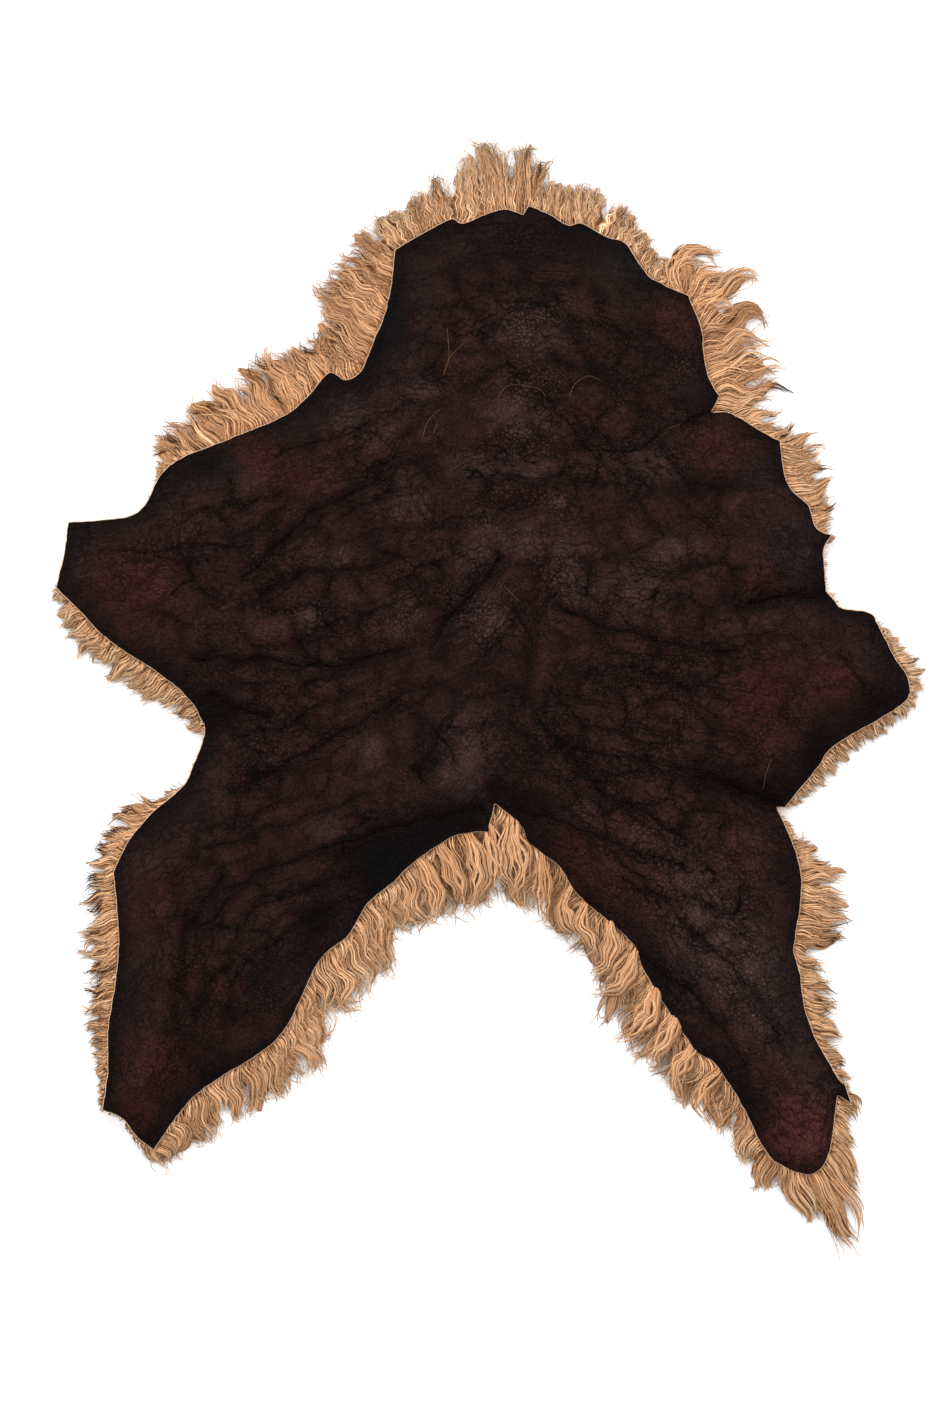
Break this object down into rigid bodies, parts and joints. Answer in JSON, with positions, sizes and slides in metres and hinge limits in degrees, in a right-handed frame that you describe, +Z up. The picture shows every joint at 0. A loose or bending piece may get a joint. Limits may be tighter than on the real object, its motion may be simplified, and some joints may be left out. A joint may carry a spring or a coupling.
{
  "type": "curly sheepskin",
  "caption": "Whole tanned sheepskin lying leather side up, with an uneven outline, shallow creases and curly locks of wool that spread out past its edge.",
  "frame": {"origin": "on the flat underside of the fleece, under the middle of the hide", "axes": "+Y along the back towards the neck, +Z up out of the leather side, +X towards the foreleg on the right as seen from above"},
  "size_m": [0.8884, 1.1221, 0.038],
  "materials": {
    "leather": "dark brown, crackled and creased, with a satin sheen",
    "wool": "honey blond curly wool, paler at the tips"
  },
  "bodies": {
    "root": {"hide": "leather", "fleece": "wool"}
  },
  "joints": []
}
